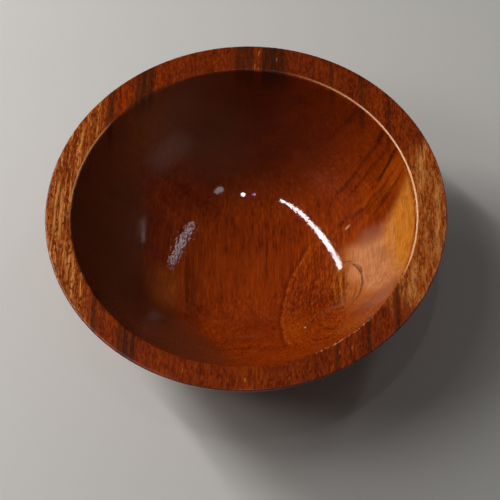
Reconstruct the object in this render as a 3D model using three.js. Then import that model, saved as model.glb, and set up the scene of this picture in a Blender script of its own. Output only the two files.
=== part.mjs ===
// A small turned wooden bowl with a flat rim.
// The whole bowl is one piece of timber: the outside is turned first, then the hollow is turned from the top.
// Units are millimetres and +Z is up. The origin is the centre of the flat foot that the bowl stands on.
// The fibres of the wood run along Y.

import * as THREE from "three";

// Overall sizes
const RIM_DIAMETER = 125; // outside of the rim, before its edge is eased
const BOWL_HEIGHT = 45; // foot to rim
const FOOT_DIAMETER = 60; // flat that the bowl stands on, before its edge is eased

// The hollow
const HOLLOW_DIAMETER = 107; // mouth of the hollow at the rim, before its edge is eased
const HOLLOW_DEPTH = 35; // rim to the middle of the floor
const HOLLOW_SHIFT_X = -0.8; // the hollow was turned a little off the centre of the outside
const HOLLOW_SHIFT_Y = -1.1;
const HOLLOW_WALL_LEAN = 20; // degrees that the inner wall leans from upright at the rim
const HOLLOW_WALL_SWEEP = 26; // how far the inner wall keeps that lean before it turns in
const HOLLOW_FLOOR_SWEEP = 28; // how far the floor stays near level from its middle

// The outside
const OUTER_WALL_LEAN = 21; // degrees that the outer wall leans from upright at the rim
const OUTER_WALL_SWEEP = 24; // how far the outer wall keeps that lean before it turns in
const FOOT_FLARE = 24; // degrees above level at which the outer wall leaves the foot
const FOOT_SWEEP = 19; // how far the outer wall keeps that flare

// Eased edges
const RIM_OUTER_EASE = 0.9;
const RIM_INNER_EASE = 0.8;
const FOOT_EASE = 1.2;

// Fineness of the solid
const TURN_STEPS = 80; // facets around the bowl
const WALL_STEPS = 12; // facets along each wall
const EASE_STEPS = 3; // facets along each eased edge

const rimRadius = RIM_DIAMETER / 2;
const hollowRadius = HOLLOW_DIAMETER / 2;
const footRadius = FOOT_DIAMETER / 2;
const floorHeight = BOWL_HEIGHT - HOLLOW_DEPTH;

// A unit direction in the profile plane, by its angle above level; x is the radius and y the height.
function heading(degrees) {
  const angle = THREE.MathUtils.degToRad(degrees);
  return new THREE.Vector2(Math.cos(angle), Math.sin(angle));
}

// The point at a distance from a start along a direction.
function along(start, direction, distance) {
  return start.clone().addScaledVector(direction, distance);
}

// An eased corner: a short curve that leaves one face and joins the next, tangent to both.
function easedCorner(corner, fromDirection, toDirection, ease) {
  return new THREE.QuadraticBezierCurve(
    along(corner, fromDirection, ease),
    corner,
    along(corner, toDirection, ease),
  ).getPoints(EASE_STEPS);
}

// A wall between two corners that leaves each one in a given direction, without its two end points.
function sweptWall(start, startDirection, startSweep, end, endDirection, endSweep) {
  return new THREE.CubicBezierCurve(
    start,
    along(start, startDirection, startSweep),
    along(end, endDirection, endSweep),
    end,
  )
    .getPoints(WALL_STEPS)
    .slice(1, -1);
}

const inward = heading(180);
const outward = heading(0);
const upFromFoot = heading(FOOT_FLARE);
const downOuterWall = heading(-90 - OUTER_WALL_LEAN);
const downInnerWall = heading(-90 - HOLLOW_WALL_LEAN);

const footMiddle = new THREE.Vector2(0, 0);
const footCorner = new THREE.Vector2(footRadius, 0);
const rimOuterCorner = new THREE.Vector2(rimRadius, BOWL_HEIGHT);
const rimInnerCorner = new THREE.Vector2(hollowRadius, BOWL_HEIGHT);
const floorMiddle = new THREE.Vector2(0, floorHeight);

// The turned outside, from the middle of the foot to the outer edge of the rim.
const outsideProfile = [
  footMiddle,
  ...easedCorner(footCorner, inward, upFromFoot, FOOT_EASE),
  ...sweptWall(footCorner, upFromFoot, FOOT_SWEEP, rimOuterCorner, downOuterWall, OUTER_WALL_SWEEP),
  ...easedCorner(rimOuterCorner, downOuterWall, inward, RIM_OUTER_EASE),
];

// The turned hollow, from the inner edge of the rim to the middle of the floor.
const hollowProfile = [
  ...easedCorner(rimInnerCorner, outward, downInnerWall, RIM_INNER_EASE),
  ...sweptWall(
    rimInnerCorner,
    downInnerWall,
    HOLLOW_WALL_SWEEP,
    floorMiddle,
    outward,
    HOLLOW_FLOOR_SWEEP,
  ),
  floorMiddle,
];

// The outside and the hollow are turned as one skin, and the rings of the hollow are moved off centre.
function turnedBowlGeometry() {
  const profile = [...outsideProfile, ...hollowProfile];
  const geometry = new THREE.LatheGeometry(profile, TURN_STEPS);
  geometry.rotateX(Math.PI / 2);
  const position = geometry.getAttribute("position");
  for (let i = 0; i < position.count; i += 1) {
    const inHollow = i % profile.length >= outsideProfile.length;
    if (inHollow) {
      position.setX(i, position.getX(i) + HOLLOW_SHIFT_X);
      position.setY(i, position.getY(i) + HOLLOW_SHIFT_Y);
    }
  }
  geometry.computeVertexNormals();
  return geometry;
}

const varnishedWood = new THREE.MeshStandardMaterial({
  color: 0x7a3a16,
  roughness: 0.3,
  metalness: 0,
});

const turnedBowl = new THREE.Mesh(turnedBowlGeometry(), varnishedWood);
turnedBowl.name = "turned_bowl";

const bowl = new THREE.Group();
bowl.add(turnedBowl);

export default bowl;
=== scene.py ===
"""A small turned wooden bowl in clear gloss varnish, on a plain pale floor.

The outside and the hollow are each drawn as a profile and spun, the hollow on its own centre a little
to one side, and the flat rim is bridged between them. The wood is one solid pattern that runs through
the bowl: growth rings round a heart line above the rim, fibres along Y, and the figure of the hollow.
"""

import math

import bpy
from mathutils import Matrix, Vector


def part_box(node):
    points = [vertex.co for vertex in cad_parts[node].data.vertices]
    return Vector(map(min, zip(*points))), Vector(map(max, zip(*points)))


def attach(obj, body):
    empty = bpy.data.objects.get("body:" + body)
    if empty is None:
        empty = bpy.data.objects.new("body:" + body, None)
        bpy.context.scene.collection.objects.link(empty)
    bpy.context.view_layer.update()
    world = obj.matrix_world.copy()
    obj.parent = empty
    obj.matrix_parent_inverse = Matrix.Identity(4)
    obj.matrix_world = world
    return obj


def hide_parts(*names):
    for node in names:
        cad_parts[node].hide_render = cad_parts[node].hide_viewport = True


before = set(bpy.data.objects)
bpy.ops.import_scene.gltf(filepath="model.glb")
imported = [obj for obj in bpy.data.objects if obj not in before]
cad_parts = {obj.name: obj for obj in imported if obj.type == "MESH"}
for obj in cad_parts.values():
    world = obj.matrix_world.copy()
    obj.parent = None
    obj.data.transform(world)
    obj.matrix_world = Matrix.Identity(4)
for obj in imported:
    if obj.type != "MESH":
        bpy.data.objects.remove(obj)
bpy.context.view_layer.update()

bl_info = {
    "name": "Turned Wooden Bowl",
    "version": (1, 0, 0),
    "blender": (4, 5, 0),
    "location": "3D View > Sidebar > Bowl",
    "description": "Models a small turned wooden bowl with a gloss varnish and sets its studio",
    "category": "Add Mesh",
}

BOWL_NODE = "turned_bowl"
BOWL_BODY = "root"

MM = 0.001
BOWL_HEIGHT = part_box(BOWL_NODE)[1].z

# Fineness of the bowl's mesh
TURN_STEPS = 360
FOOT_FINENESS = 8
EASE_FINENESS = 6
OUTSIDE_FINENESS = 36
HOLLOW_FINENESS = 60
RIM_CUTS = 9

# A quadratic corner as a cubic curve has its handles this far towards the corner.
CORNER_HANDLE = 2 / 3

# Points nearer than this are merged where a turned skin closes.
SEAM_REACH = 0.002 * MM


def length_property(name, description, millimetres):
    """A length that the user can change."""
    return bpy.props.FloatProperty(
        name=name, description=description, default=millimetres * MM, unit="LENGTH", precision=4,
    )


def angle_property(name, description, degrees):
    """An angle that the user can change."""
    return bpy.props.FloatProperty(
        name=name, description=description, default=math.radians(degrees), subtype="ANGLE",
    )


def colour_property(name, description, colour):
    """A colour that the user can change, in linear light."""
    return bpy.props.FloatVectorProperty(
        name=name, description=description, default=colour, subtype="COLOR", size=3, min=0, max=1,
    )


def share_property(name, description, share):
    """A share between nothing and one that the user can change."""
    return bpy.props.FloatProperty(
        name=name, description=description, default=share, min=0, max=1, subtype="FACTOR",
    )


def power_property(name, description, watts):
    """The power of a lamp that the user can change."""
    return bpy.props.FloatProperty(name=name, description=description, default=watts, unit="POWER")


class BowlSizes(bpy.types.PropertyGroup):
    """Sizes of the turned bowl"""

    rim_diameter: length_property("Rim diameter", "Outside of the rim, before its edge is eased", 125)
    foot_diameter: length_property("Foot diameter", "Flat that it stands on, before its edge is eased", 60)
    hollow_diameter: length_property("Hollow diameter", "Mouth of the hollow, before its edge is eased", 107)
    hollow_depth: length_property("Hollow depth", "Rim to the middle of the floor", 35)
    hollow_shift: bpy.props.FloatVectorProperty(
        name="Hollow shift", description="How far the hollow is turned off the centre of the outside",
        default=(-0.8 * MM, -1.1 * MM), size=2, unit="LENGTH", precision=4,
    )
    hollow_wall_lean: angle_property("Hollow wall lean", "Lean of the inner wall from upright at the rim", 20)
    hollow_wall_sweep: length_property(
        "Hollow wall sweep", "How far the inner wall keeps its lean before it turns in", 26,
    )
    hollow_floor_sweep: length_property(
        "Hollow floor sweep", "How far the floor stays near level from its middle", 28,
    )
    outer_wall_lean: angle_property("Outer wall lean", "Lean of the outer wall from upright at the rim", 21)
    outer_wall_sweep: length_property(
        "Outer wall sweep", "How far the outer wall keeps its lean before it turns in", 24,
    )
    foot_flare: angle_property("Foot flare", "Angle above level at which the outer wall leaves the foot", 24)
    foot_sweep: length_property("Foot sweep", "How far the outer wall keeps that flare", 19)
    rim_outer_ease: length_property("Outer rim ease", "Easing of the outer edge of the rim", 0.9)
    rim_inner_ease: length_property("Inner rim ease", "Easing of the inner edge of the rim", 0.8)
    foot_ease: length_property("Foot ease", "Easing of the edge of the foot", 1.2)


class WoodLook(bpy.types.PropertyGroup):
    """Colours and gloss of the varnished wood"""

    deep: colour_property("Deep heartwood", "Darkest bands of the heartwood", (0.090, 0.0085, 0.0006))
    heart: colour_property("Heartwood", "Body of the heartwood", (0.235, 0.0260, 0.0010))
    warm: colour_property("Warm heartwood", "Lightest bands of the heartwood", (0.370, 0.0540, 0.0020))
    orange: colour_property("Orange wood", "Bright lines of the figure", (0.470, 0.0820, 0.0040))
    # The shaded heartwood colour is painted shade on the left and far walls of the hollow
    shade: colour_property("Shaded heartwood", "Left and far walls of the hollow", (0.160, 0.0520, 0.0220))
    brown: colour_property("Brown sapwood", "Dark specks of the golden rim", (0.125, 0.0150, 0.0006))
    honey: colour_property("Honey sapwood", "Body of the golden rim", (0.370, 0.0680, 0.0036))
    pale: colour_property("Pale sapwood", "Pale threads of the golden rim", (0.700, 0.2700, 0.0620))
    # Painted highlight: this pale colour stands in for reflections on the inner rim edge and in glints
    painted_highlight: colour_property("Worn edge", "Inner edge of the rim, worn pale", (0.920, 0.4700, 0.2200))
    gold: colour_property("Golden sapwood", "Golden wood on the right wall", (0.740, 0.2450, 0.0250))
    tan: colour_property("Tan wood", "Wood of the eye", (0.500, 0.1300, 0.0160))
    # Blush: golden wood with a painted pale reflection over it, right of the hollow and beside the eye
    blush_and_sheen: colour_property("Blush", "Pale patch on the right of the hollow", (0.660, 0.2550, 0.0930))
    # The lower dusk patch is a painted dull reflection
    dusk: colour_property("Dusk", "Dull patches above and below the pale one", (0.350, 0.1150, 0.0560))
    line: colour_property("Lines", "Dark lines of the hollow", (0.050, 0.0080, 0.0012))
    streak: colour_property("Streaks", "Dark streaks of the rim", (0.022, 0.0085, 0.0025))
    pore: colour_property("Pores", "Open pores along the fibres", (0.080, 0.0110, 0.0008))
    shine: share_property("Shine", "Strength of the mirror of the varnish", 0.5)
    hollow_gloss: share_property("Hollow roughness", "Roughness of the floor of the hollow", 0.03)
    wall_gloss: share_property("Wall roughness", "Roughness of the walls inside and outside", 0.22)
    bare_gloss: share_property("Bare roughness", "Roughness of the duller wood beside the eye", 0.50)
    rim_gloss: share_property("Rim roughness", "Roughness of the flat rim, where the pores are open", 0.20)


class StageLook(bpy.types.PropertyGroup):
    """Floor and lamps"""

    floor: colour_property("Floor", "Colour of the plain floor", (0.62, 0.60, 0.565))
    backdrop: colour_property("Backdrop", "Colour behind the floor", (0.72, 0.72, 0.72))
    ambient: bpy.props.FloatProperty(
        name="Ambient", description="Strength of the even light of the room", default=0.035, min=0,
    )
    key_power: power_property("Key lamp", "Power of the long thin lamp at the left", 3.0)
    soft_power: power_property("Soft lamps", "Power of the broad lamps at the left", 2.5)
    fill_power: power_property("Fill lamp", "Power of the dim lamp at the near right", 0.18)
    side_power: power_property("Side lamp", "Power of the short lamp at the right", 0.56)
    spot_power: power_property("Small lamps", "Power of the small lamps overhead", 0.30)


def select_only(*objects):
    """Selects these objects alone and makes the first one active."""
    bpy.ops.object.select_all(action="DESELECT")
    for item in objects:
        item.select_set(True)
    bpy.context.view_layer.objects.active = objects[0]


# The profile of the bowl, drawn in the XZ plane: x is the radius and z the height.

def heading(angle):
    """A unit direction in the profile plane, by its angle above level."""
    return Vector((math.cos(angle), 0, math.sin(angle)))


def swept(start, start_handle, end, end_handle, fineness):
    """A stretch of the profile between two points that leaves each one towards its handle."""
    return {"start": start, "start_handle": start_handle, "end": end, "end_handle": end_handle,
            "fineness": fineness}


def straight(start, end, fineness):
    """A straight stretch of the profile."""
    return swept(start, start.lerp(end, 1 / 3), end, end.lerp(start, 1 / 3), fineness)


def eased(corner, start, end):
    """An eased corner of the profile, tangent to both faces."""
    return swept(start, start.lerp(corner, CORNER_HANDLE), end, end.lerp(corner, CORNER_HANDLE),
                 EASE_FINENESS)


def outside_profile(sizes):
    """From the middle of the foot round the outer wall to the flat of the rim."""
    foot_corner = Vector((sizes.foot_diameter / 2, 0, 0))
    rim_corner = Vector((sizes.rim_diameter / 2, 0, BOWL_HEIGHT))
    up_wall = heading(sizes.foot_flare)
    down_wall = heading(-math.pi / 2 - sizes.outer_wall_lean)
    inward = heading(math.pi)
    foot_edge = foot_corner + inward * sizes.foot_ease
    wall_foot = foot_corner + up_wall * sizes.foot_ease
    wall_top = rim_corner + down_wall * sizes.rim_outer_ease
    rim_edge = rim_corner + inward * sizes.rim_outer_ease
    return [
        straight(Vector((0, 0, 0)), foot_edge, FOOT_FINENESS),
        eased(foot_corner, foot_edge, wall_foot),
        swept(wall_foot, foot_corner + up_wall * sizes.foot_sweep,
              wall_top, rim_corner + down_wall * sizes.outer_wall_sweep, OUTSIDE_FINENESS),
        eased(rim_corner, wall_top, rim_edge),
    ]


def hollow_profile(sizes):
    """From the flat of the rim down the inner wall to the middle of the floor."""
    rim_corner = Vector((sizes.hollow_diameter / 2, 0, BOWL_HEIGHT))
    floor_middle = Vector((0, 0, BOWL_HEIGHT - sizes.hollow_depth))
    down_wall = heading(-math.pi / 2 - sizes.hollow_wall_lean)
    outward = heading(0)
    rim_edge = rim_corner + outward * sizes.rim_inner_ease
    wall_top = rim_corner + down_wall * sizes.rim_inner_ease
    return [
        eased(rim_corner, rim_edge, wall_top),
        swept(wall_top, rim_corner + down_wall * sizes.hollow_wall_sweep,
              floor_middle, floor_middle + outward * sizes.hollow_floor_sweep, HOLLOW_FINENESS),
    ]


def draw_profile(name, stretches):
    """Draws the stretches as one curve object of Bezier splines and makes it a mesh."""
    bpy.ops.object.select_all(action="DESELECT")
    bpy.ops.curve.primitive_bezier_curve_add()
    profile = bpy.context.object
    profile.name = name
    profile.data.splines.clear()
    for stretch in stretches:
        spline = profile.data.splines.new("BEZIER")
        spline.bezier_points.add(1)
        spline.resolution_u = stretch["fineness"]
        for point, place, handle in zip(
            spline.bezier_points, ("start", "end"), ("start_handle", "end_handle")
        ):
            point.handle_left_type = "FREE"
            point.handle_right_type = "FREE"
            point.co = stretch[place]
            point.handle_left = stretch[handle]
            point.handle_right = stretch[handle]
    select_only(profile)
    bpy.ops.object.convert(target="MESH")
    return bpy.context.object


def turn_skin(name, stretches, centre):
    """Spins a profile round an upright axis and closes its pole and its seam."""
    skin = draw_profile(name, stretches)
    bpy.ops.object.mode_set(mode="EDIT")
    bpy.ops.mesh.select_all(action="SELECT")
    bpy.ops.transform.translate(value=centre)
    bpy.ops.mesh.spin(steps=TURN_STEPS, angle=2 * math.pi, center=centre, axis=(0, 0, 1))
    bpy.ops.mesh.select_all(action="SELECT")
    bpy.ops.mesh.remove_doubles(threshold=SEAM_REACH)
    bpy.ops.object.mode_set(mode="OBJECT")
    return skin


def turn_bowl(sizes):
    """The outside and the hollow, joined by the flat rim into one closed skin."""
    outside = turn_skin(BOWL_NODE + "_outside", outside_profile(sizes), Vector((0, 0, 0)))
    hollow = turn_skin(BOWL_NODE + "_hollow", hollow_profile(sizes), Vector((*sizes.hollow_shift, 0)))
    select_only(outside, hollow)
    bpy.ops.object.join()
    bpy.ops.object.mode_set(mode="EDIT")
    bpy.ops.mesh.select_mode(type="EDGE")
    bpy.ops.mesh.select_all(action="DESELECT")
    bpy.ops.mesh.select_non_manifold()
    bpy.ops.mesh.bridge_edge_loops(number_cuts=RIM_CUTS, interpolation="LINEAR")
    bpy.ops.mesh.select_all(action="SELECT")
    bpy.ops.mesh.normals_make_consistent(inside=False)
    bpy.ops.object.mode_set(mode="OBJECT")
    bpy.ops.object.shade_smooth()
    bowl = bpy.context.object
    bowl.name = "varnished_bowl"
    bowl.data.name = bowl.name
    return bowl


class NodeBench:
    """Adds the nodes of one material and joins them up."""

    # A Mix node's own sockets for each kind of data: the factor, both inputs and the output
    MIX_COLOUR = ("RGBA", (0, 6, 7), 2)
    MIX_NUMBER = ("FLOAT", (0, 2, 3), 0)

    # Noise lies about this value.
    NOISE_MIDDLE = 0.5

    # A drawn line and a dash are full up to this share of their reach.
    LINE_CORE = 0.15
    DASH_CORE = 0.4

    # Detail of the noise that sways a place
    SWAY_DETAIL = 3.0

    def __init__(self, tree):
        self.tree = tree

    def add(self, kind, **settings):
        """A new node with these settings."""
        node = self.tree.nodes.new(kind)
        for name, value in settings.items():
            setattr(node, name, value)
        return node

    def feed(self, socket, value):
        """Links an output to the socket, or sets the socket's own value."""
        if isinstance(value, bpy.types.NodeSocket):
            self.tree.links.new(value, socket)
        else:
            socket.default_value = value

    def math(self, operation, *values):
        """A sum of one to three values."""
        node = self.add("ShaderNodeMath", operation=operation)
        for socket, value in zip(node.inputs, values):
            self.feed(socket, value)
        return node.outputs[0]

    def product(self, *values):
        """All the values multiplied together."""
        result = values[0]
        for value in values[1:]:
            result = self.math("MULTIPLY", result, value)
        return result

    def greatest(self, *values):
        """The greatest of the values."""
        result = values[0]
        for value in values[1:]:
            result = self.math("MAXIMUM", result, value)
        return result

    def sloped(self, value, slope, base):
        """The base plus a slope times the value."""
        return self.math("MULTIPLY_ADD", value, slope, base)

    def swing(self, noise, share, base):
        """The base moved up and down by a share of a noise."""
        return self.sloped(self.math("SUBTRACT", noise, self.NOISE_MIDDLE), share, base)

    def rest(self, share):
        """What a share leaves of one."""
        return self.math("SUBTRACT", 1.0, share)

    def distance(self, across, along):
        """How far a place of a plan lies from its middle."""
        return self.math("SQRT", self.sloped(across, across, self.product(along, along)))

    def between(self, value, low, high, to_low=0.0, to_high=1.0):
        """A smooth step from to_low at low to to_high at high."""
        node = self.add("ShaderNodeMapRange", interpolation_type="SMOOTHSTEP")
        for socket, number in zip(node.inputs, (value, low, high, to_low, to_high)):
            self.feed(socket, number)
        return node.outputs[0]

    def bell(self, value, middle, reach):
        """One at the middle, falling smoothly to nothing at the reach on each side."""
        away = self.math("ABSOLUTE", self.math("SUBTRACT", value, middle))
        return self.between(away, reach, 0.0)

    def window(self, value, low, high, soft):
        """One from low to high, with soft edges outside them."""
        return self.product(self.between(value, low - soft, low), self.between(value, high + soft, high))

    def blend(self, mix, *values):
        """A Mix node of one kind of data, with its factor and both inputs."""
        data_type, sockets, output = mix
        node = self.add("ShaderNodeMix", data_type=data_type)
        for socket, value in zip(sockets, values):
            self.feed(node.inputs[socket], value)
        return node.outputs[output]

    def blend_colour(self, amount, first, second):
        """Two colours blended by an amount."""
        return self.blend(self.MIX_COLOUR, amount, first, second)

    def blend_number(self, amount, first, second):
        """Two numbers blended by an amount."""
        return self.blend(self.MIX_NUMBER, amount, first, second)

    def mapped(self, place, location=(0, 0, 0), turn=0.0, scale=(1, 1, 1)):
        """A place that is moved, turned about Z and scaled."""
        node = self.add("ShaderNodeMapping", vector_type="POINT")
        self.feed(node.inputs["Vector"], place)
        node.inputs["Location"].default_value = location
        node.inputs["Rotation"].default_value = (0, 0, turn)
        node.inputs["Scale"].default_value = scale
        return node.outputs[0]

    def split(self, place):
        """The three numbers of a place."""
        node = self.add("ShaderNodeSeparateXYZ")
        self.feed(node.inputs[0], place)
        return node.outputs

    def length(self, place):
        """The length of a place from the origin."""
        node = self.add("ShaderNodeVectorMath", operation="LENGTH")
        self.feed(node.inputs[0], place)
        return node.outputs["Value"]

    def noise_node(self, dimensions, scale, detail, roughness):
        """A noise texture with these settings."""
        node = self.add("ShaderNodeTexNoise", noise_dimensions=dimensions)
        node.inputs["Scale"].default_value = scale
        node.inputs["Detail"].default_value = detail
        node.inputs["Roughness"].default_value = roughness
        return node

    def noise(self, place, grain, detail=2.0, roughness=0.6):
        """Noise with this many cells of grain in each millimetre."""
        node = self.noise_node("3D", 1.0, detail, roughness)
        self.feed(node.inputs["Vector"], self.mapped(place, scale=grain))
        return node.outputs[0]

    def line_noise(self, value, scale, detail, roughness):
        """Noise along one number, for bands of uneven width."""
        node = self.noise_node("1D", scale, detail, roughness)
        self.feed(node.inputs["W"], value)
        return node.outputs[0]

    def swayed(self, place, grain, reach):
        """The place with a sway, so that no line of the wood is drawn with a ruler."""
        sway = self.noise_node("3D", 1.0, self.SWAY_DETAIL, 0.5)
        self.feed(sway.inputs["Vector"], self.mapped(place, scale=grain))
        centred = self.add("ShaderNodeVectorMath", operation="SUBTRACT")
        self.feed(centred.inputs[0], sway.outputs["Color"])
        centred.inputs[1].default_value = (self.NOISE_MIDDLE,) * 3
        swayed = self.add("ShaderNodeVectorMath", operation="MULTIPLY_ADD")
        self.feed(swayed.inputs[0], centred.outputs[0])
        swayed.inputs[1].default_value = (reach,) * 3
        self.feed(swayed.inputs[2], place)
        return swayed.outputs[0]

    def dashes(self, place, grain, size):
        """Short dashes along the fibres, one in each cell of the grain."""
        node = self.add("ShaderNodeTexVoronoi", voronoi_dimensions="3D", feature="F1")
        self.feed(node.inputs["Vector"], self.mapped(place, scale=grain))
        node.inputs["Scale"].default_value = 1.0
        return self.between(node.outputs["Distance"], size, size * self.DASH_CORE)

    def share_along(self, place, direction, middle, reach):
        """How far a place of the plan lies from a middle along a direction, in shares of the reach."""
        x, y = place
        toward_y = self.sloped(y, direction[1] / reach, -middle.dot(direction) / reach)
        return self.sloped(x, direction[0] / reach, toward_y)

    def drawn_line(self, place, line):
        """A line of the figure: one along its middle, fading at its ends and its sides."""
        along = self.share_along(place, line.ahead, line.middle, line.half_length)
        across = self.share_along(place, line.left, line.middle, line.half_width)
        bowed = self.sloped(self.product(along, along), line.bow / line.half_width, across)
        side = self.between(self.math("ABSOLUTE", bowed), 1.0, self.LINE_CORE)
        end = self.between(self.math("ABSOLUTE", along), 1.0, line.fade)
        return self.product(end, line.strength, side)

    def drawn_lines(self, place, lines):
        """The strongest of several lines of the figure."""
        return self.greatest(*(self.drawn_line(place, line) for line in lines))

    def patch(self, place, zone):
        """A zone of the plan: one inside its core, nothing at its reach along X and Y."""
        across, along = (
            self.sloped(value, 1 / reach, -middle / reach)
            for value, middle, reach in zip(place, zone.middle, zone.reach)
        )
        return self.between(self.distance(across, along), 1.0, zone.core)


class FigureLine:
    """A line of the figure from start to end in the plan, whose middle bows to its left."""

    def __init__(self, start, end, half_width, strength, bow=0.0, fade=0.4):
        run = Vector(end) - Vector(start)
        self.half_length = run.length / 2
        self.ahead = run.normalized()
        self.left = Vector((-self.ahead.y, self.ahead.x))
        self.middle = (Vector(start) + Vector(end)) / 2 + self.left * bow
        self.half_width = half_width
        self.strength = strength
        self.bow = bow
        self.fade = fade


class Zone:
    """A soft oval patch of the plan, full in its core, with the tint and its share where it has one."""

    def __init__(self, middle, reach, core, tint=None, share=1.0):
        self.middle = middle
        self.reach = reach
        self.core = core
        self.tint = tint
        self.share = share


class Tone:
    """A tint of the wood that comes in where a noise passes from its start to its full value."""

    def __init__(self, tint, start, full, share):
        self.tint = tint
        self.start = start
        self.full = full
        self.share = share


# The wood, in millimetres of the bowl. A grain is the cells of a noise in each millimetre. Other rows of
# numbers are where a soft step starts and is full, and then what it steps from and to. Three numbers of a
# window are its two ends and the softness beyond them.

RIM_Z = BOWL_HEIGHT / MM
GRAIN_TURN = math.radians(2.8)
COARSE_GRAIN = (0.55, 0.03, 0.55)
COARSE_DETAIL = 3.0
FINE_GRAIN = (1.8, 0.12, 1.8)
GRIT_GRAIN = (2.5, 0.60, 2.5)

# Sways: the grain and the reach
FIGURE_SWAY = ((0.30, 0.16, 0.30), 2.6)
LINE_SWAY = ((0.13, 0.09, 0.13), 1.8)
RING_SWAY = ((0.6, 0.30, 0.6), 1.0)
EDGE_SWAY = ((0.8, 0.30, 0.8), 0.7)

# Parts of the bowl by their height
FLAT_RISE = (RIM_Z - 0.5, RIM_Z - 0.05)
STREAK_RISE = (RIM_Z - 9.0, RIM_Z - 1.0)
HOLLOW_FALL = (RIM_Z - 0.3, RIM_Z - 1.2)

# The eased inner edge of the rim: a window of its heights, and the radius that it lies inside
EDGE_WINDOW = (RIM_Z - 0.26, RIM_Z - 0.05, 0.04)
EDGE_RADIUS = (57.0, 56.0)

# What lies beyond a cone through the wall, or lower than the floor of the hollow, is the outside.
CONE_FLARE = 0.6
CONE_RADIUS = (29.2, 30.8)
UNDER_Z = (9.0, 7.0)
OUTSIDE_GRAIN = 0.5


class BowlWood:
    """Places, noises and parts of the bowl that the layers of its wood share."""

    def __init__(self, bench, look):
        self.bench = bench
        self.look = look
        coordinates = bench.add("ShaderNodeTexCoord")
        self.plan = bench.mapped(coordinates.outputs["Object"], scale=(1 / MM,) * 3)
        self.fibres = bench.mapped(self.plan, turn=GRAIN_TURN)
        self.swayed = bench.swayed(self.plan, *FIGURE_SWAY)
        self.gentle = bench.swayed(self.plan, *LINE_SWAY)
        self.plan_at = bench.split(self.plan)[:2]
        self.swayed_at = bench.split(self.swayed)[:2]
        self.gentle_at = bench.split(self.gentle)[:2]
        self.across, self.along, self.up = bench.split(self.fibres)
        self.flat = bench.between(self.up, *FLAT_RISE)
        self.upper = bench.between(self.up, *STREAK_RISE)
        self.outside = bench.product(self.outer_wall(), bench.rest(self.flat))
        self.hollow = bench.product(bench.between(self.up, *HOLLOW_FALL), bench.rest(self.outside))
        self.open_grain = bench.sloped(self.outside, OUTSIDE_GRAIN, self.flat)
        self.coarse = bench.noise(self.fibres, COARSE_GRAIN, COARSE_DETAIL)
        self.fine = bench.noise(self.fibres, FINE_GRAIN)
        self.grit = bench.noise(self.fibres, GRIT_GRAIN)
        self.edge = self.inner_edge()

    def outer_wall(self):
        """One on the outer wall and under the foot, nothing in the hollow."""
        from_axis = self.bench.length(self.bench.mapped(self.plan, scale=(1, 1, 0)))
        beyond = self.bench.sloped(self.up, -CONE_FLARE, from_axis)
        wall = self.bench.between(beyond, *CONE_RADIUS)
        return self.bench.greatest(wall, self.bench.between(self.up, *UNDER_Z))

    def inner_edge(self):
        """The eased inner edge of the rim: one on it, nothing on the flat, the wall and the outside."""
        shift_x, shift_y = bpy.context.scene.bowl_sizes.hollow_shift
        to_middle = (-shift_x / MM, -shift_y / MM, 0)
        from_hollow = self.bench.mapped(self.plan, location=to_middle, scale=(1, 1, 0))
        inside = self.bench.between(self.bench.length(from_hollow), *EDGE_RADIUS)
        return self.bench.product(inside, self.bench.window(self.up, *EDGE_WINDOW))

    def zone(self, zone):
        """A zone of the hollow."""
        return self.bench.product(self.bench.patch(self.swayed_at, zone), self.hollow)

    def colour(self, tint):
        """A colour of the look by its name."""
        return (*getattr(self.look, tint), 1)

    def tinted(self, colour, amount, tint, share=1.0):
        """The colour blended towards a tint by a share of an amount."""
        return self.bench.blend_colour(self.bench.product(amount, share), colour, self.colour(tint))

    def zoned(self, colour, zone, *limits):
        """The colour with the tint of a zone of the hollow, within these limits."""
        return self.tinted(colour, self.bench.product(self.zone(zone), *limits), zone.tint, zone.share)

    def toned(self, colour, noise, tones, *limits):
        """The colour with tones of a noise, within these limits."""
        for tone in tones:
            amount = self.bench.product(self.bench.between(noise, tone.start, tone.full), *limits)
            colour = self.tinted(colour, amount, tone.tint, tone.share)
        return colour


# Heartwood: rings round a heart line above the rim, and how much each noise moves its tone. Shares of the
# fine streaks are off the flat rim and on it, those of the grit under the varnish and in open grain.
HEART_X = 2.0
HEART_Z = RIM_Z + 10.0
WIDE_RINGS = (0.16, 1.0, 0.5)
NARROW_RINGS = (0.75, 3.0, 0.6)
RING_SHARE = 0.35
COARSE_SHARE = 0.7
FINE_SHARES = (1.15, 0.7)
GRIT_SHARES = (0.3, 2.2)
TONE_MIDDLE = 0.525
HEART_TONE = (0.12, 0.50)
WARM_TONE = (0.50, 0.90)
RIM_DEEPENING = (40.0, 54.0, 0.25, 0.42)


def heartwood(wood):
    """Red heartwood in bands of the growth rings and streaks of the fibres."""
    bench = wood.bench
    turned = bench.mapped(wood.swayed, turn=GRAIN_TURN)
    ring = bench.length(bench.mapped(turned, location=(-HEART_X, 0, -HEART_Z), scale=(1, 0, 1)))
    narrow = bench.line_noise(ring, *NARROW_RINGS)
    tone = bench.swing(bench.line_noise(ring, *WIDE_RINGS), RING_SHARE, TONE_MIDDLE)
    tone = bench.swing(narrow, RING_SHARE, tone)
    tone = bench.swing(narrow, wood.outside, tone)
    tone = bench.swing(wood.coarse, COARSE_SHARE, tone)
    tone = bench.swing(wood.fine, bench.blend_number(wood.flat, *FINE_SHARES), tone)
    tone = bench.swing(wood.grit, bench.blend_number(wood.open_grain, *GRIT_SHARES), tone)
    colour = bench.blend_colour(bench.between(tone, *HEART_TONE), wood.colour("deep"), wood.colour("heart"))
    colour = bench.blend_colour(bench.between(tone, *WARM_TONE), colour, wood.colour("warm"))
    return wood.tinted(colour, wood.flat, "deep", bench.between(wood.along, *RIM_DEEPENING))


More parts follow.
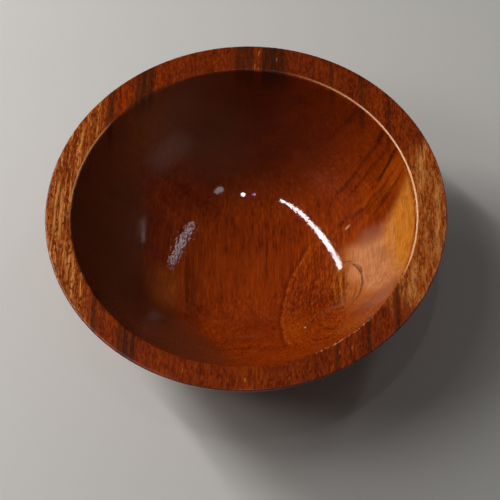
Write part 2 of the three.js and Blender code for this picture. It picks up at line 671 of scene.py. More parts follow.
# Wavy red wood above the eye
WAVE_SLANT = -0.5
WAVES = (0.45, 3.0, 0.7)
WAVE_TONES = (Tone("deep", 0.50, 0.38, 0.55), Tone("warm", 0.50, 0.66, 0.60))
RED = Zone((44.0, 13.0), (15.0, 13.0), 0.35)
EMBER = Zone((48.5, 13.5), (7.0, 7.0), 0.2, "orange", 0.60)


def wavy_wood(wood, colour):
    """Wavy lines of the red wood above the eye."""
    x, y = wood.swayed_at
    waves = wood.bench.line_noise(wood.bench.sloped(x, WAVE_SLANT, y), *WAVES)
    colour = wood.zoned(colour, EMBER)
    return wood.toned(colour, waves, WAVE_TONES, wood.zone(RED))


# The eye on the right of the hollow, the slant and squeeze of the rings round it, and the lines at their edge
EYE_MIDDLE = (30.5, -16.5)
EYE_SLANT = -0.25
EYE_SQUEEZE = 0.62
EYE_EDGE = 18.5
RINGS = (0.8, 3.0, 0.65)
RING_SIDE = (35.0, 27.0)
RING_REACH = (EYE_EDGE + 1.0, EYE_EDGE - 4.0)
RING_TONES = (Tone("deep", 0.50, 0.36, 0.32), Tone("warm", 0.50, 0.66, 0.28))
DASH_TONES = (Tone("deep", 0.97, 0.80, 0.50), Tone("orange", 1.04, 1.22, 0.45))
RING_DARK = Zone((20.5, -18.0), (5.5, 13.0), 0.2, "deep", 0.45)
EDGE_ALONG = (-36.0, 1.0, 4.0)
EDGE_BREAKS = (0.42, 0.56)
EDGE_FLANK = {"radius": EYE_EDGE + 1.0, "reach": 1.1, "tint": "deep", "share": 0.55}
EDGE_LINES = (
    {"radius": EYE_EDGE, "reach": 0.95, "tint": "orange", "share": 1.0},
    {"radius": EYE_EDGE - 2.2, "reach": 0.8, "tint": "orange", "share": 0.50},
)
GLOW = Zone((14.0, -30.0), (6.0, 9.0), 0.1, "orange", 0.60)
GLOW_BREAKS = (0.36, 0.60)


def eye_distance(bench, place):
    """Distance from the middle of the eye, on slanted and squeezed rings, in millimetres."""
    x, y, _ = bench.split(place)
    across = bench.math("SUBTRACT", x, EYE_MIDDLE[0])
    along = bench.math("SUBTRACT", y, EYE_MIDDLE[1])
    return bench.distance(bench.sloped(along, EYE_SLANT, across), bench.product(along, EYE_SQUEEZE))


def eye_rings(wood, colour):
    """Gritty rings round the eye and the bright broken lines at their edge."""
    bench = wood.bench
    x, y = wood.swayed_at
    left_side = bench.product(bench.between(x, *RING_SIDE), wood.hollow)
    eye = eye_distance(bench, bench.swayed(wood.swayed, *RING_SWAY))
    inside = bench.product(bench.between(eye, *RING_REACH), left_side)
    colour = wood.zoned(colour, RING_DARK)
    colour = wood.toned(colour, bench.line_noise(eye, *RINGS), RING_TONES, inside)
    colour = wood.toned(colour, bench.math("ADD", wood.grit, wood.fine), DASH_TONES, inside)

    edge = eye_distance(bench, bench.swayed(wood.gentle, *EDGE_SWAY))
    shown = bench.product(bench.window(y, *EDGE_ALONG), left_side)
    flank = bench.product(shown, bench.bell(edge, EDGE_FLANK["radius"], EDGE_FLANK["reach"]))
    colour = wood.tinted(colour, flank, EDGE_FLANK["tint"], EDGE_FLANK["share"])
    broken = bench.product(shown, bench.between(wood.grit, *EDGE_BREAKS))
    for line in EDGE_LINES:
        bright = bench.product(broken, bench.bell(edge, line["radius"], line["reach"]))
        colour = wood.tinted(colour, bright, line["tint"], line["share"])
    return wood.zoned(colour, GLOW, bench.between(wood.grit, *GLOW_BREAKS))


# Pale wood beside the eye, with a painted pale reflection on it. Its top lies along the highest of two
# sloped lines and a level one, each given as a slope and its height at X = 0.
PALE_TOPS = ((0.72, -31.8), (1.2, -52.8))
PALE_LOWEST_TOP = -1.8
PALE_FRINGE = 7.0
PALE_FADE = (3.4, -3.4)
PALE_ALONG = (-34.0, -20.0)
PALE_ACROSS = (26.0, 35.0)
PALE_STREAKS = (0.34, 0.62, 0.65, 1.0)
SHEEN_ACROSS = (30.5, 35.5)
SHEEN_SLANT = 2.2
SHEEN_FOOT = (56.0, 66.0)
GOLDEN_UNEVEN = 9.0
GOLDEN_ACROSS = (42.5, 48.0)
LOW_TAN = Zone((34.0, -38.0), (11.0, 8.0), 0.2, "tan", 0.45)
DUSK = Zone((40.0, -0.5), (5.5, 5.0), 0.2, "dusk", 0.60)
# The lower dull patch is a painted reflection on the right wall
LOW_REFLECTION = Zone((40.0, -29.0), (5.8, 6.0), 0.3, "dusk", 0.70)


def pale_wood(wood, colour):
    """Tan wood of the eye, a painted pale reflection on golden wood to its right, gold up to the rim."""
    bench = wood.bench
    x, y = wood.swayed_at
    top = bench.greatest(*(bench.sloped(x, slope, height) for slope, height in PALE_TOPS), PALE_LOWEST_TOP)
    under_top = bench.math("SUBTRACT", bench.swing(wood.fine, PALE_FRINGE, y), top)
    upper_part = bench.product(bench.between(under_top, *PALE_FADE), bench.between(y, *PALE_ALONG))
    reach = bench.product(upper_part, bench.between(x, *PALE_ACROSS), wood.hollow)
    # Painted reflection: the pale blush is golden wood with a painted reflection over it
    slanted = bench.sloped(x, SHEEN_SLANT, y)
    sheened = bench.product(bench.between(x, *SHEEN_ACROSS), bench.between(slanted, *SHEEN_FOOT))
    pale = bench.blend_colour(sheened, wood.colour("tan"), wood.colour("blush_and_sheen"))
    golden = bench.between(bench.swing(wood.coarse, GOLDEN_UNEVEN, x), *GOLDEN_ACROSS)
    pale = bench.blend_colour(golden, pale, wood.colour("gold"))
    streaks = bench.between(wood.fine, *PALE_STREAKS)
    colour = bench.blend_colour(bench.product(reach, streaks), colour, pale)
    colour = wood.zoned(colour, LOW_TAN, streaks)
    colour = wood.zoned(colour, DUSK)
    # Painted reflection: the lower dull patch
    return wood.zoned(colour, LOW_REFLECTION)


# Fibres of the eye, and a painted pale reflection to their right
EYE_REFLECTION = Zone((33.4, -12.2), (2.8, 5.0), 0.3, "blush_and_sheen", 0.60)
EYE_FIBRES = Zone((28.8, -17.0), (6.0, 11.0), 0.35)
FIBRE_GRAIN = (2.4, 0.20, 2.4)
FIBRE_TONES = (Tone("deep", 0.49, 0.40, 0.65), Tone("tan", 0.51, 0.62, 0.42))
GLINT_BREAKS = (0.38, 0.56, 0.3, 1.0)
EYE_GLINTS = (
    FigureLine((29.8, -9.0), (29.4, -25.0), 0.45, 0.40, fade=0.4),
    FigureLine((27.9, -11.0), (27.7, -25.0), 0.40, 0.22, fade=0.4),
    FigureLine((34.8, -16.5), (32.4, -25.0), 0.60, 0.35, bow=0.6),
)


def eye_fibres(wood, colour):
    """Fibres of the eye, cut along their length, with a painted pale reflection at their right."""
    bench = wood.bench
    # Painted reflection: a pale patch on the right of the eye
    colour = wood.zoned(colour, EYE_REFLECTION)
    fibre = bench.noise(wood.fibres, FIBRE_GRAIN)
    colour = wood.toned(colour, fibre, FIBRE_TONES, wood.zone(EYE_FIBRES))
    glints = bench.product(bench.drawn_lines(wood.gentle_at, EYE_GLINTS), wood.hollow)
    return wood.tinted(colour, bench.product(glints, bench.between(wood.grit, *GLINT_BREAKS)), "gold")


# Golden sapwood: where it starts at each side, how its right start curves along the fibres, and the threads,
# specks and hairs in it. Steps that start with nothing and one follow how far right the wood is.
GOLD_LEFT = (-44.5, -47.5)
GOLD_RIGHT = (37.0, 45.0)
GOLD_MIDDLE = -12.0
GOLD_CURVE = 0.012
GOLD_UNEVEN = 10.0
GOLD_FRINGE = 14.0
GOLD_TOP = (RIM_Z - 2.5, RIM_Z - 0.8)
SPECK_GRAIN = (1.9, 0.65, 1.9)
SPECK_STEP = (0.40, 0.54)
THREAD_GRAIN = (1.5, 0.04, 1.5)
THREAD_TONES = (Tone("brown", 0.47, 0.39, 0.60),)
PALE_THREADS = (0.52, 0.62, 0.0, 0.85)
RIGHT_THREADS = (0.0, 1.0, 1.0, 0.4)
RIGHT_SPECKS = (0.0, 1.0, 0.30, 1.0)
RIGHT_ORANGE = 0.70
BAND_BREAKS = (0.36, 0.56, 0.40, 1.0)
HAIR_GRAIN = (3.0, 0.32, 3.0)
HAIR_TONES = (Tone("brown", 0.48, 0.38, 0.40), Tone("pale", 0.53, 0.64, 0.30))
FLECK_GRAIN = (1.5, 0.34, 1.5)
FLECK_TONES = (Tone("pale", 0.52, 0.60, 0.38), Tone("heart", 0.45, 0.38, 0.60))

# Pale and brown bands of the golden rim
PALE_BANDS = (
    FigureLine((57.0, 24.5), (54.0, 0.5), 1.7, 0.95, bow=0.3, fade=0.5),
    FigureLine((59.8, 8.0), (57.0, -22.0), 1.3, 0.90, bow=0.5, fade=0.5),
    FigureLine((50.8, -20.5), (47.2, -37.0), 1.9, 0.75, fade=0.5),
    FigureLine((55.4, -12.0), (53.6, -27.0), 0.8, 0.50),
    FigureLine((-58.2, 14.0), (-59.7, -10.0), 0.65, 0.85, fade=0.6),
    FigureLine((-56.9, 10.0), (-57.7, -13.0), 0.70, 0.85, fade=0.6),
    FigureLine((-53.6, -14.0), (-52.0, -27.0), 0.70, 0.70),
    FigureLine((-56.2, -10.0), (-54.6, -25.0), 0.60, 0.70),
    FigureLine((-51.0, 33.0), (-52.6, 19.0), 0.70, 0.70),
)
BROWN_BANDS = (
    FigureLine((-57.8, 12.0), (-58.5, -9.0), 0.60, 0.90, fade=0.6),
    FigureLine((-54.9, 20.0), (-55.5, -12.0), 0.95, 0.70),
    FigureLine((-50.4, -21.0), (-48.4, -33.0), 1.2, 0.60),
    FigureLine((57.3, 12.0), (56.0, -17.0), 1.0, 0.35),
    FigureLine((53.6, -2.0), (52.6, -20.0), 1.0, 0.30),
)


def golden_sapwood(wood, colour):
    """Golden sapwood at both sides of the rim and down the outer wall, in brown and tan threads."""
    bench = wood.bench
    side = bench.swing(wood.coarse, GOLD_UNEVEN, wood.across)
    thread = bench.noise(wood.fibres, THREAD_GRAIN)
    from_middle = bench.math("SUBTRACT", wood.along, GOLD_MIDDLE)
    curve = bench.product(from_middle, from_middle, GOLD_CURVE)
    right_side = bench.math("SUBTRACT", bench.swing(thread, GOLD_FRINGE, side), curve)
    right = bench.between(right_side, *GOLD_RIGHT)
    left = bench.between(side, *GOLD_LEFT)
    shown = bench.greatest(bench.between(wood.up, *GOLD_TOP), wood.outside)
    golden = bench.product(bench.greatest(left, right), shown)

    speck = bench.between(bench.noise(wood.fibres, SPECK_GRAIN), *SPECK_STEP)
    gold = bench.blend_colour(speck, wood.colour("brown"), wood.colour("honey"))
    gold = wood.toned(gold, thread, THREAD_TONES)
    bright = bench.product(right, bench.between(speck, *RIGHT_SPECKS))
    gold = wood.tinted(gold, bright, "orange", RIGHT_ORANGE)
    unbroken = bench.between(wood.fine, *BAND_BREAKS)
    brown = bench.product(bench.drawn_lines(wood.gentle_at, BROWN_BANDS), unbroken)
    gold = wood.tinted(gold, brown, "brown")
    threads = bench.product(bench.between(thread, *PALE_THREADS), speck, bench.between(right, *RIGHT_THREADS))
    bands = bench.product(bench.drawn_lines(wood.gentle_at, PALE_BANDS), unbroken)
    gold = wood.tinted(gold, bench.greatest(threads, bands), "pale")
    gold = wood.toned(gold, bench.noise(wood.fibres, HAIR_GRAIN), HAIR_TONES)
    gold = wood.toned(gold, bench.noise(wood.fibres, FLECK_GRAIN), FLECK_TONES, right)
    return bench.blend_colour(golden, colour, gold)


# Painted shade of the left, far and near-left walls, and slow changes of tone over the hollow
FAR_SHADE_ALONG = (12.0, 36.0)
FAR_SHADE_LEFT = (-30.0, -8.0)
FAR_SHADE_RIGHT = (14.0, 40.0, 1.0, 0.55)
NEAR_LEFT_SLANT = 0.8
NEAR_LEFT_SHADE = (-34.0, -52.0)
SHADE_SHARES = {"deep": 0.80, "line": 0.35}
LEFT_WALL_SHADE = (-29.0, -42.0, 0.0, 0.9)
FAR_LEFT_WALL_SHADE_ALONG = (22.0, 38.0, 0.0, 0.5)
FAR_LEFT_WALL_SHADE_ACROSS = (10.0, -14.0)
NEAR_LEFT_WALL_SHADE_SHARE = 0.4
WALL_ZONES = (
    Zone((8.0, -27.0), (24.0, 11.0), 0.2, "deep", 0.26),
    Zone((-2.0, -6.0), (20.0, 13.0), 0.2, "warm", 0.20),
    Zone((-27.5, -12.0), (8.0, 12.0), 0.3, "tan", 0.30),
)
MOTTLE_GRAIN = (0.10, 0.16, 0.10)
MOTTLE_DETAIL = 3.0
MOTTLE_ROUGHNESS = 0.55
MOTTLE_TONES = (Tone("heart", 0.50, 0.70, 0.22), Tone("deep", 0.50, 0.32, 0.22))


def shaded_walls(wood, colour):
    """Painted shade on the left, far and near-left walls, tone changes and a mottle over the hollow."""
    bench = wood.bench
    x, y = wood.swayed_at
    # Painted shade: the far wall and the near-left wall are darkened where the lamps leave them in shadow
    far_across = bench.product(bench.between(x, *FAR_SHADE_LEFT), bench.between(x, *FAR_SHADE_RIGHT))
    far = bench.product(bench.between(y, *FAR_SHADE_ALONG), far_across)
    near_left_shade = bench.between(bench.sloped(y, NEAR_LEFT_SLANT, x), *NEAR_LEFT_SHADE)
    painted_shade = bench.product(bench.greatest(far, near_left_shade), wood.hollow)
    for tint, share in SHADE_SHARES.items():
        colour = wood.tinted(colour, painted_shade, tint, share)
    for zone in WALL_ZONES:
        colour = wood.zoned(colour, zone)
    # Painted shade: the left, far-left and near-left walls take the shaded heartwood colour
    left = bench.between(x, *LEFT_WALL_SHADE)
    far_left_shade = bench.product(bench.between(y, *FAR_LEFT_WALL_SHADE_ALONG), bench.between(x, *FAR_LEFT_WALL_SHADE_ACROSS))
    dull = bench.greatest(left, far_left_shade, bench.product(near_left_shade, NEAR_LEFT_WALL_SHADE_SHARE))
    colour = wood.tinted(colour, bench.product(dull, wood.hollow), "shade")
    mottle = bench.noise(wood.swayed, MOTTLE_GRAIN, MOTTLE_DETAIL, MOTTLE_ROUGHNESS)
    return wood.toned(colour, mottle, MOTTLE_TONES, wood.hollow)


# Dark lines of the hollow
LINE_BREAKS = (0.36, 0.54, 0.40, 1.0)
HOLLOW_LINES = (
    FigureLine((29.5, 18.0), (45.8, 26.4), 1.1, 0.62),
    FigureLine((42.4, 24.8), (48.0, 27.6), 1.5, 1.00, fade=0.6),
    FigureLine((29.3, 17.7), (35.0, 20.2), 1.4, 0.65),
    FigureLine((42.3, 14.4), (50.6, 20.2), 1.1, 0.95, bow=0.5, fade=0.5),
    FigureLine((45.0, 17.2), (50.2, 20.0), 1.2, 0.45),
    FigureLine((39.5, 9.2), (48.0, 15.2), 1.0, 0.45, bow=-0.5),
    FigureLine((39.8, 5.0), (51.8, 12.9), 1.1, 0.65, bow=0.4),
    FigureLine((42.4, 7.8), (47.6, 10.2), 1.1, 0.80),
    FigureLine((31.0, 8.9), (41.6, 9.8), 1.3, 0.45, bow=-0.3),
    FigureLine((27.4, 11.2), (27.8, 13.6), 0.9, 0.50),
    FigureLine((30.4, 6.6), (33.0, 8.4), 1.3, 0.75),
    FigureLine((32.5, 34.8), (38.5, 35.4), 1.2, 0.50),
    FigureLine((-20.2, 4.0), (-20.6, -28.0), 1.2, 0.70, fade=0.3),
    FigureLine((-18.6, 7.0), (-18.6, -31.0), 2.8, 0.42, fade=0.3),
    FigureLine((28.9, -10.0), (28.7, -24.5), 0.50, 0.55, fade=0.6),
    FigureLine((30.9, -9.0), (30.2, -22.5), 0.60, 0.55, fade=0.6),
    FigureLine((27.0, -11.5), (26.8, -23.5), 0.45, 0.40, fade=0.5),
    FigureLine((33.2, -7.2), (31.2, -25.6), 0.60, 0.78, bow=4.0, fade=0.8),
    FigureLine((29.2, -7.4), (34.6, -7.6), 0.50, 0.55, bow=0.6, fade=0.5),
    FigureLine((34.4, -8.2), (36.0, -15.0), 0.55, 0.66, bow=0.9, fade=0.5),
    FigureLine((33.8, -17.0), (31.8, -24.4), 0.50, 0.55, bow=0.5),
    FigureLine((27.0, -25.9), (30.6, -24.6), 0.95, 0.50),
    FigureLine((23.3, -32.4), (27.0, -35.2), 0.8, 0.55, bow=-0.4),
    FigureLine((21.3, -29.2), (23.4, -31.9), 0.8, 0.45),
)

# Dark streaks along the fibres, which show on the rim and fade down the walls
STREAK_BREAKS = (0.34, 0.56, 0.45, 1.0)
STREAK_UNEVEN = 1.6
FAR_RIM = (38.0, 46.0)
RIM_STREAKS = (
    {"from": -36.3, "to": -35.7, "soft": 0.7, "strength": 0.75},
    {"from": -34.9, "to": -33.9, "soft": 0.7, "strength": 0.85},
    {"from": -32.6, "to": -31.9, "soft": 0.7, "strength": 0.80},
    {"from": -36.5, "to": -31.8, "soft": 1.0, "strength": 0.50},
    {"from": -45.0, "to": -44.0, "soft": 0.7, "strength": 0.70},
    {"from": 27.1, "to": 27.8, "soft": 0.7, "strength": 0.55},
    {"from": 36.6, "to": 37.4, "soft": 0.8, "strength": 0.65},
    {"from": 45.2, "to": 45.8, "soft": 0.7, "strength": 0.55},
)
FAR_STREAKS = (
    {"from": 4.8, "to": 9.0, "soft": 1.0, "strength": 0.92},
    {"from": 8.0, "to": 10.8, "soft": 3.6, "strength": 0.75},
    {"from": -3.4, "to": 0.4, "soft": 2.6, "strength": 0.72},
)

# Painted glints of the hollow, and pale flecks of the rim
HOLLOW_GLINTS = (
    FigureLine((32.4, 5.1), (34.2, 6.5), 0.55, 0.55),
    FigureLine((17.2, -30.6), (17.4, -29.6), 0.45, 0.60),
)
RIM_FLECKS = (
    FigureLine((4.4, 52.0), (4.9, 55.0), 0.28, 0.40),
    FigureLine((6.0, 57.5), (6.6, 60.5), 0.30, 0.45),
    FigureLine((5.6, 51.6), (6.0, 53.4), 0.25, 0.30),
    FigureLine((12.0, 55.0), (12.2, 57.2), 0.25, 0.35),
    FigureLine((-2.2, -59.8), (-2.0, -58.0), 0.32, 0.55),
    FigureLine((-20.2, -56.2), (-19.9, -54.2), 0.25, 0.30),
    FigureLine((25.5, -52.2), (25.7, -50.4), 0.25, 0.40),
    FigureLine((29.2, -50.6), (29.5, -49.4), 0.30, 0.40),
    FigureLine((10.2, -59.8), (10.9, -58.2), 0.28, 0.30),
)


def drawn_streaks(bench, across, streaks):
    """The strongest of several streaks along the fibres."""
    shown = (bench.window(across, streak["from"], streak["to"], streak["soft"]) for streak in streaks)
    return bench.greatest(*(
        bench.product(window, streak["strength"]) for window, streak in zip(shown, streaks)
    ))


def lines_and_flecks(wood, colour):
    """Dark lines of the hollow, dark streaks and pale flecks of the rim, and painted glints in the hollow."""
    bench = wood.bench
    lines = bench.product(bench.drawn_lines(wood.gentle_at, HOLLOW_LINES), wood.hollow)
    colour = wood.tinted(colour, bench.product(lines, bench.between(wood.grit, *LINE_BREAKS)), "line")
    across = bench.swing(wood.coarse, STREAK_UNEVEN, wood.across)
    far = bench.product(drawn_streaks(bench, across, FAR_STREAKS), bench.between(wood.along, *FAR_RIM))
    dark = bench.greatest(drawn_streaks(bench, across, RIM_STREAKS), far)
    dark = bench.product(dark, bench.between(wood.fine, *STREAK_BREAKS), wood.upper)
    colour = wood.tinted(colour, dark, "streak")
    rim_flecks = bench.product(bench.drawn_lines(wood.plan_at, RIM_FLECKS), wood.flat)
    # Painted glints: small bright specks in the hollow stand in for reflections
    hollow_glints = bench.product(bench.drawn_lines(wood.plan_at, HOLLOW_GLINTS), wood.hollow)
    colour = wood.tinted(colour, rim_flecks, "pale")
    return wood.tinted(colour, hollow_glints, "painted_highlight")


# Open pores, which are closed by the varnish in the hollow, and how deep they show across the bowl
PORE_GRAIN = (1.7, 0.30, 1.7)
SMALL_PORE_GRAIN = (2.6, 0.9, 2.6)
SMALL_PORE_SHIFT = (7.3, 41.0, 3.1)
SMALL_PORE_SHARE = 0.7
PORE_SIZE = 0.36
CLOSED_PORES = (42.0, 47.0, 0.12, 0.42)
OPEN_PORES = (42.0, 47.0, 0.62, 0.48)


def open_pores(wood):
    """Pores along the fibres: one in a pore, nothing between them."""
    bench = wood.bench
    small_place = bench.mapped(wood.fibres, location=SMALL_PORE_SHIFT)
    small = bench.dashes(small_place, SMALL_PORE_GRAIN, PORE_SIZE)
    large = bench.dashes(wood.fibres, PORE_GRAIN, PORE_SIZE)
    return bench.greatest(large, bench.product(small, SMALL_PORE_SHARE))


def pored(wood, colour, pores):
    """The colour with the pores in it, deeper where the grain is open."""
    bench = wood.bench
    x, _ = wood.plan_at
    depth = bench.blend_number(
        wood.open_grain, bench.between(x, *CLOSED_PORES), bench.between(x, *OPEN_PORES)
    )
    return wood.tinted(colour, bench.product(pores, depth), "pore")


# Painted highlight on the inner edge of the rim: where it is painted across and along the plan
EDGE_HIGHLIGHT_RIGHT_ACROSS = (8.0, 58.0)
EDGE_HIGHLIGHT_RIGHT_ALONG = (-30.0, -19.0)
EDGE_HIGHLIGHT_LEFT_ACROSS = (-41.0, -46.0, 0.0, 0.50)
EDGE_HIGHLIGHT_LEFT_ALONG = (-12.0, 12.0)
EDGE_HIGHLIGHT_NEAR_ACROSS = (22.0, 34.0, 5.0)
EDGE_HIGHLIGHT_NEAR_ALONG = (-36.0, -41.0, 0.0, 0.6)
EDGE_HIGHLIGHT_NEAR_BREAKS = (0.50, 0.58)


def painted_edge_highlight(wood, colour):
    """Painted highlight along the inner rim edge: strong on the right, faint far left and near by."""
    bench = wood.bench
    x, y = wood.plan_at
    # Painted highlight on the rim's inner edge, and broken painted glints near by
    right = bench.product(bench.between(x, *EDGE_HIGHLIGHT_RIGHT_ACROSS), bench.between(y, *EDGE_HIGHLIGHT_RIGHT_ALONG))
    left = bench.product(bench.between(x, *EDGE_HIGHLIGHT_LEFT_ACROSS), bench.between(y, *EDGE_HIGHLIGHT_LEFT_ALONG))
    near = bench.product(bench.window(x, *EDGE_HIGHLIGHT_NEAR_ACROSS), bench.between(y, *EDGE_HIGHLIGHT_NEAR_ALONG))
    near = bench.product(near, bench.between(wood.grit, *EDGE_HIGHLIGHT_NEAR_BREAKS))
    return wood.tinted(colour, bench.product(bench.greatest(right, left, near), wood.edge), "painted_highlight")


# Varnish: the walls and the wood beside the eye are duller, and it ripples more on the left of the floor.
# Its ripples and the open grain are bumps of these strengths.
DULL_WALLS = (22.0, RIM_Z - 2.0, 6.0)
BARE = Zone((35.0, -21.0), (6.0, 8.0), 0.4)
PORE_ROUGHNESS = 0.06
RIPPLE_GRAIN = (1.1, 1.0, 1.1)
RIPPLE_DETAIL = 1.0
RIPPLE_ROUGHNESS = 0.5
RIPPLED = Zone((-22.0, 4.0), (14.0, 18.0), 0.5)
RIPPLE_STRENGTHS = (0.08, 0.34)
GRAIN_STRENGTH = 0.14
GRIT_HEIGHT = 0.5
PORE_HEIGHT = -1.0
BUMP_DISTANCE = 0.12 * MM


def varnish_roughness(wood, pores):
    """Roughness: the floor of the hollow is glossy, the walls and the flat rim are duller."""
    bench = wood.bench
    look = wood.look
    dull = bench.greatest(bench.window(wood.up, *DULL_WALLS), wood.outside)
    gloss = bench.blend_number(dull, look.hollow_gloss, look.wall_gloss)
    bare = bench.product(bench.patch(wood.plan_at, BARE), wood.hollow)
    gloss = bench.blend_number(bare, gloss, look.bare_gloss)
    gloss = bench.blend_number(bench.greatest(wood.flat, wood.edge), gloss, look.rim_gloss)
    return bench.sloped(pores, PORE_ROUGHNESS, gloss)


def varnish_bumps(wood, pores):
    """Bumps: faint ripples of the varnish, and the grit and the pores where the grain is open."""
    bench = wood.bench
    grain = bench.sloped(wood.grit, GRIT_HEIGHT, bench.product(pores, PORE_HEIGHT))
    ripple = bench.noise(wood.plan, RIPPLE_GRAIN, RIPPLE_DETAIL, RIPPLE_ROUGHNESS)
    strength = bench.blend_number(bench.patch(wood.plan_at, RIPPLED), *RIPPLE_STRENGTHS)
    bump = bench.add("ShaderNodeBump")
    bump.inputs["Distance"].default_value = BUMP_DISTANCE
    bench.feed(bump.inputs["Strength"], bench.blend_number(wood.open_grain, strength, GRAIN_STRENGTH))
    bench.feed(bump.inputs["Height"], bench.blend_number(wood.open_grain, ripple, grain))
    return bump.outputs[0]


def varnished_wood(look):
    """The wood of the bowl under its varnish, laid on from the heartwood up."""
    material = bpy.data.materials.new("varnished_wood")
    material.use_nodes = True
    shader = material.node_tree.nodes["Principled BSDF"]
    bench = NodeBench(material.node_tree)
    wood = BowlWood(bench, look)
    pores = open_pores(wood)
    colour = heartwood(wood)
    # Some layers paint shade, reflections and glints into the colour, and the last one a highlight on the rim
    # edge
    for layer in (
        wavy_wood, eye_rings, pale_wood, eye_fibres, golden_sapwood, shaded_walls, lines_and_flecks,
    ):
        colour = layer(wood, colour)
    colour = painted_edge_highlight(wood, pored(wood, colour, pores))
    bench.feed(shader.inputs["Base Color"], colour)
    bench.feed(shader.inputs["Roughness"], varnish_roughness(wood, pores))
    bench.feed(shader.inputs["Normal"], varnish_bumps(wood, pores))
    shader.inputs["Specular IOR Level"].default_value = look.shine
    return material


class MESH_OT_varnished_bowl_add(bpy.types.Operator):
    """Turn the bowl, finish it in varnished wood and stand it in the place of its solid"""

    bl_idname = "mesh.varnished_bowl_add"
    bl_label = "Turn the bowl"

    def execute(self, context):
        bowl = turn_bowl(context.scene.bowl_sizes)
        bowl.data.materials.clear()
        bowl.data.materials.append(varnished_wood(context.scene.wood_look))
        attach(bowl, BOWL_BODY)
        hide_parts(BOWL_NODE)
        return {"FINISHED"}


# The stage. Ends of lamps are sights from the rim, in degrees round from +Y towards +X and degrees above
# level, at a distance in metres, or places over it. Shares are of the lamp's power.

KEY_DISTANCE = 1.0
KEY_BENDS = ((-95.5, 72), (-80, 65), (-62.5, 53), (-52, 38.5), (-44, 24))
KEY_STRIPS = (
    {"width": 0.030, "share": 0.12},
    {"width": 0.042, "share": 0.26},
    {"width": 0.048, "share": 0.38},
    {"width": 0.044, "share": 0.24},
)
SOFT_DISTANCE = 0.6
SOFT_LAMPS = (
    {"ends": ((-69, 34), (-52, 34)), "width": 0.16, "share": 0.72},
    {"ends": ((-112, 43), (-80, 43)), "width": 0.20, "share": 0.28},
)
FILL_ENDS = ((112, 22), (142, 22))
FILL_WIDTH = 0.34
FILL_COLOUR = (1.0, 0.90, 0.76)
LAMP_HEIGHT = 1.0
SIDE_ENDS = (Vector((0.415, 0.21, LAMP_HEIGHT)), Vector((0.73, 0.78, LAMP_HEIGHT)))
SIDE_WIDTH = 0.056
SIDE_COLOUR = (0.86, 0.92, 1.0)
STREAK_ENDS = ((78, 31), (63, 30))
STREAK_WIDTH = 0.022
STREAK_SHARE = 0.08
SPOTS = (
    {"place": (-0.005, -0.105), "size": 0.030, "share": 0.60, "colour": (1.0, 0.98, 1.0)},
    {"place": (-0.095, -0.105), "size": 0.018, "share": 0.06, "colour": (0.85, 0.55, 1.0)},
    {"place": (0.21, -0.18), "size": 0.090, "share": 0.22, "colour": (0.90, 0.93, 1.0)},
)
PLAIN_LIGHT = (1.0, 1.0, 1.0)

CAMERA_LENS = 90.0
CAMERA_ELEVATION = math.radians(60.556)
CAMERA_ROLL = math.radians(-2.178)
CAMERA_DISTANCE = 0.37956
CAMERA_AIM = Vector((0.000798, -0.016169, BOWL_HEIGHT))
CAMERA_CLIP = 0.01
FLOOR_SIZE = 40.0
FLOOR_FADE = (0.20, 1.10)
FLOOR_ROUGHNESS = 0.6


def sight(azimuth, elevation):
    """A direction from the bowl, by degrees round from +Y towards +X and degrees above level."""
    turn, rise = math.radians(azimuth), math.radians(elevation)
    level = math.cos(rise)
    return Vector((math.sin(turn) * level, math.cos(turn) * level, math.sin(rise)))


def sights(ends, distance):
    """Places at a distance from the rim along several sights."""
    return [distance * sight(azimuth, elevation) for azimuth, elevation in ends]


def area_lamp(name, shape, size, power, colour):
    """An area lamp that the camera sees only in what it lights."""
    bpy.ops.object.light_add(type="AREA")
    lamp = bpy.context.object
    lamp.name = name
    lamp.data.shape = shape
    lamp.data.size = size
    lamp.data.energy = power
    lamp.data.color = colour
    lamp.visible_camera = False
    return lamp


def strip_lamp(name, ends, width, power, colour=PLAIN_LIGHT):
    """A straight strip lamp between two places over the rim that faces the bowl."""
    first, last = ends
    middle = (first + last) / 2
    run = (last - first).normalized()
    back = middle - run * middle.dot(run)
    back.normalize()
    side = back.cross(run)
    lamp = area_lamp(name, "RECTANGLE", (last - first).length, power, colour)
    lamp.data.size_y = width
    axes = Matrix((run, side, back)).transposed().to_4x4()
    lamp.matrix_world = Matrix.Translation(middle + Vector((0, 0, BOWL_HEIGHT))) @ axes
    return lamp


def small_lamp(name, spot, power):
    """A small round lamp overhead."""
    lamp = area_lamp(name, "DISK", spot["size"], power * spot["share"], spot["colour"])
    lamp.location = (*spot["place"], LAMP_HEIGHT + BOWL_HEIGHT)


def hang_lamps(look):
    """The bent key lamp, the soft lamps without a mirror image, and the small lamps."""
    bends = sights(KEY_BENDS, KEY_DISTANCE)
    for number, strip in enumerate(KEY_STRIPS):
        power = look.key_power * strip["share"]
        strip_lamp(f"key_lamp_{number + 1}", bends[number:number + 2], strip["width"], power)
    for number, soft in enumerate(SOFT_LAMPS, start=1):
        ends = sights(soft["ends"], SOFT_DISTANCE)
        lamp = strip_lamp(f"soft_lamp_{number}", ends, soft["width"], look.soft_power * soft["share"])
        lamp.visible_glossy = False
    strip_lamp("fill_lamp", sights(FILL_ENDS, KEY_DISTANCE), FILL_WIDTH, look.fill_power, FILL_COLOUR)
    strip_lamp("side_lamp", SIDE_ENDS, SIDE_WIDTH, look.side_power, SIDE_COLOUR)
    streak_ends = sights(STREAK_ENDS, KEY_DISTANCE)
    strip_lamp("streak_lamp", streak_ends, STREAK_WIDTH, look.side_power * STREAK_SHARE)
    for number, spot in enumerate(SPOTS, start=1):
        small_lamp(f"small_lamp_{number}", spot, look.spot_power)


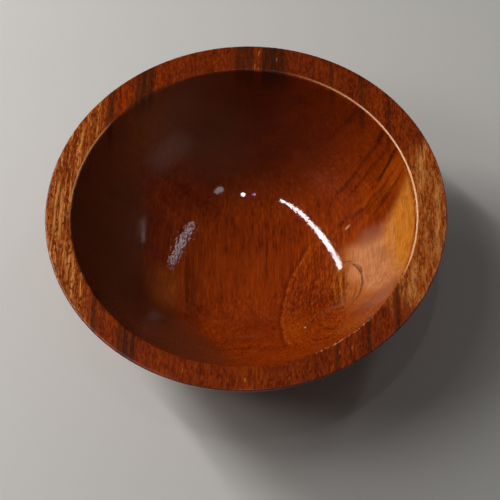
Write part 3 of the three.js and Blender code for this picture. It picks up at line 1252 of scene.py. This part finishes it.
def pale_floor(look):
    """The plain floor that the bowl stands on, which runs into the backdrop away from it."""
    bpy.ops.object.select_all(action="DESELECT")
    bpy.ops.mesh.primitive_plane_add(size=FLOOR_SIZE)
    floor = bpy.context.object
    floor.name = "floor"
    material = bpy.data.materials.new("pale_floor")
    material.use_nodes = True
    shader = material.node_tree.nodes["Principled BSDF"]
    shader.inputs["Base Color"].default_value = (*look.floor, 1)
    shader.inputs["Roughness"].default_value = FLOOR_ROUGHNESS
    shader.inputs["Emission Color"].default_value = (*look.backdrop, 1)
    bench = NodeBench(material.node_tree)
    away = bench.length(bench.add("ShaderNodeTexCoord").outputs["Object"])
    seen = bench.add("ShaderNodeLightPath").outputs["Is Camera Ray"]
    faded = bench.product(bench.between(away, *FLOOR_FADE), seen)
    bench.feed(shader.inputs["Emission Strength"], faded)
    floor.data.materials.append(material)


def room_light(look):
    """Even light from the room, and a pale backdrop where the camera looks past the floor."""
    world = bpy.data.worlds.new("room")
    world.use_nodes = True
    bpy.context.scene.world = world
    bench = NodeBench(world.node_tree)
    background = world.node_tree.nodes["Background"]
    seen = bench.add("ShaderNodeLightPath").outputs["Is Camera Ray"]
    even = (look.ambient, look.ambient, look.ambient, 1)
    bench.feed(background.inputs["Color"], bench.blend_colour(seen, even, (*look.backdrop, 1)))


def set_camera():
    """The camera, above and in front of the bowl."""
    bpy.ops.object.camera_add()
    camera = bpy.context.object
    camera.name = "camera"
    camera.data.lens = CAMERA_LENS
    tilt = Matrix.Rotation(math.pi / 2 - CAMERA_ELEVATION, 4, "X")
    roll = Matrix.Rotation(CAMERA_ROLL, 4, "Z")
    back = tilt @ Vector((0, 0, 1))
    camera.matrix_world = Matrix.Translation(CAMERA_AIM + back * CAMERA_DISTANCE) @ tilt @ roll
    camera.data.clip_start = CAMERA_CLIP
    bpy.context.scene.camera = camera


class SCENE_OT_bowl_stage_add(bpy.types.Operator):
    """Lay the floor, hang the lamps and set the camera"""

    bl_idname = "scene.bowl_stage_add"
    bl_label = "Set the stage"

    def execute(self, context):
        look = context.scene.stage_look
        pale_floor(look)
        hang_lamps(look)
        room_light(look)
        set_camera()
        context.scene.view_settings.view_transform = "Standard"
        return {"FINISHED"}


class VIEW3D_PT_turned_bowl(bpy.types.Panel):
    """Sizes, colours and buttons for the bowl"""

    bl_idname = "VIEW3D_PT_turned_bowl"
    bl_label = "Turned bowl"
    bl_space_type = "VIEW_3D"
    bl_region_type = "UI"
    bl_category = "Bowl"

    def draw(self, context):
        layout = self.layout
        for group in (context.scene.bowl_sizes, context.scene.wood_look, context.scene.stage_look):
            for name in group.bl_rna.properties.keys():
                if name not in ("rna_type", "name"):
                    layout.prop(group, name)
        layout.operator(MESH_OT_varnished_bowl_add.bl_idname)
        layout.operator(SCENE_OT_bowl_stage_add.bl_idname)


CLASSES = (
    BowlSizes,
    WoodLook,
    StageLook,
    MESH_OT_varnished_bowl_add,
    SCENE_OT_bowl_stage_add,
    VIEW3D_PT_turned_bowl,
)


def register():
    for item in CLASSES:
        bpy.utils.register_class(item)
    bpy.types.Scene.bowl_sizes = bpy.props.PointerProperty(type=BowlSizes)
    bpy.types.Scene.wood_look = bpy.props.PointerProperty(type=WoodLook)
    bpy.types.Scene.stage_look = bpy.props.PointerProperty(type=StageLook)


def unregister():
    del bpy.types.Scene.stage_look
    del bpy.types.Scene.wood_look
    del bpy.types.Scene.bowl_sizes
    for item in reversed(CLASSES):
        bpy.utils.unregister_class(item)


def main():
    register()
    bpy.ops.mesh.varnished_bowl_add()
    bpy.ops.scene.bowl_stage_add()


if __name__ == "__main__":
    main()
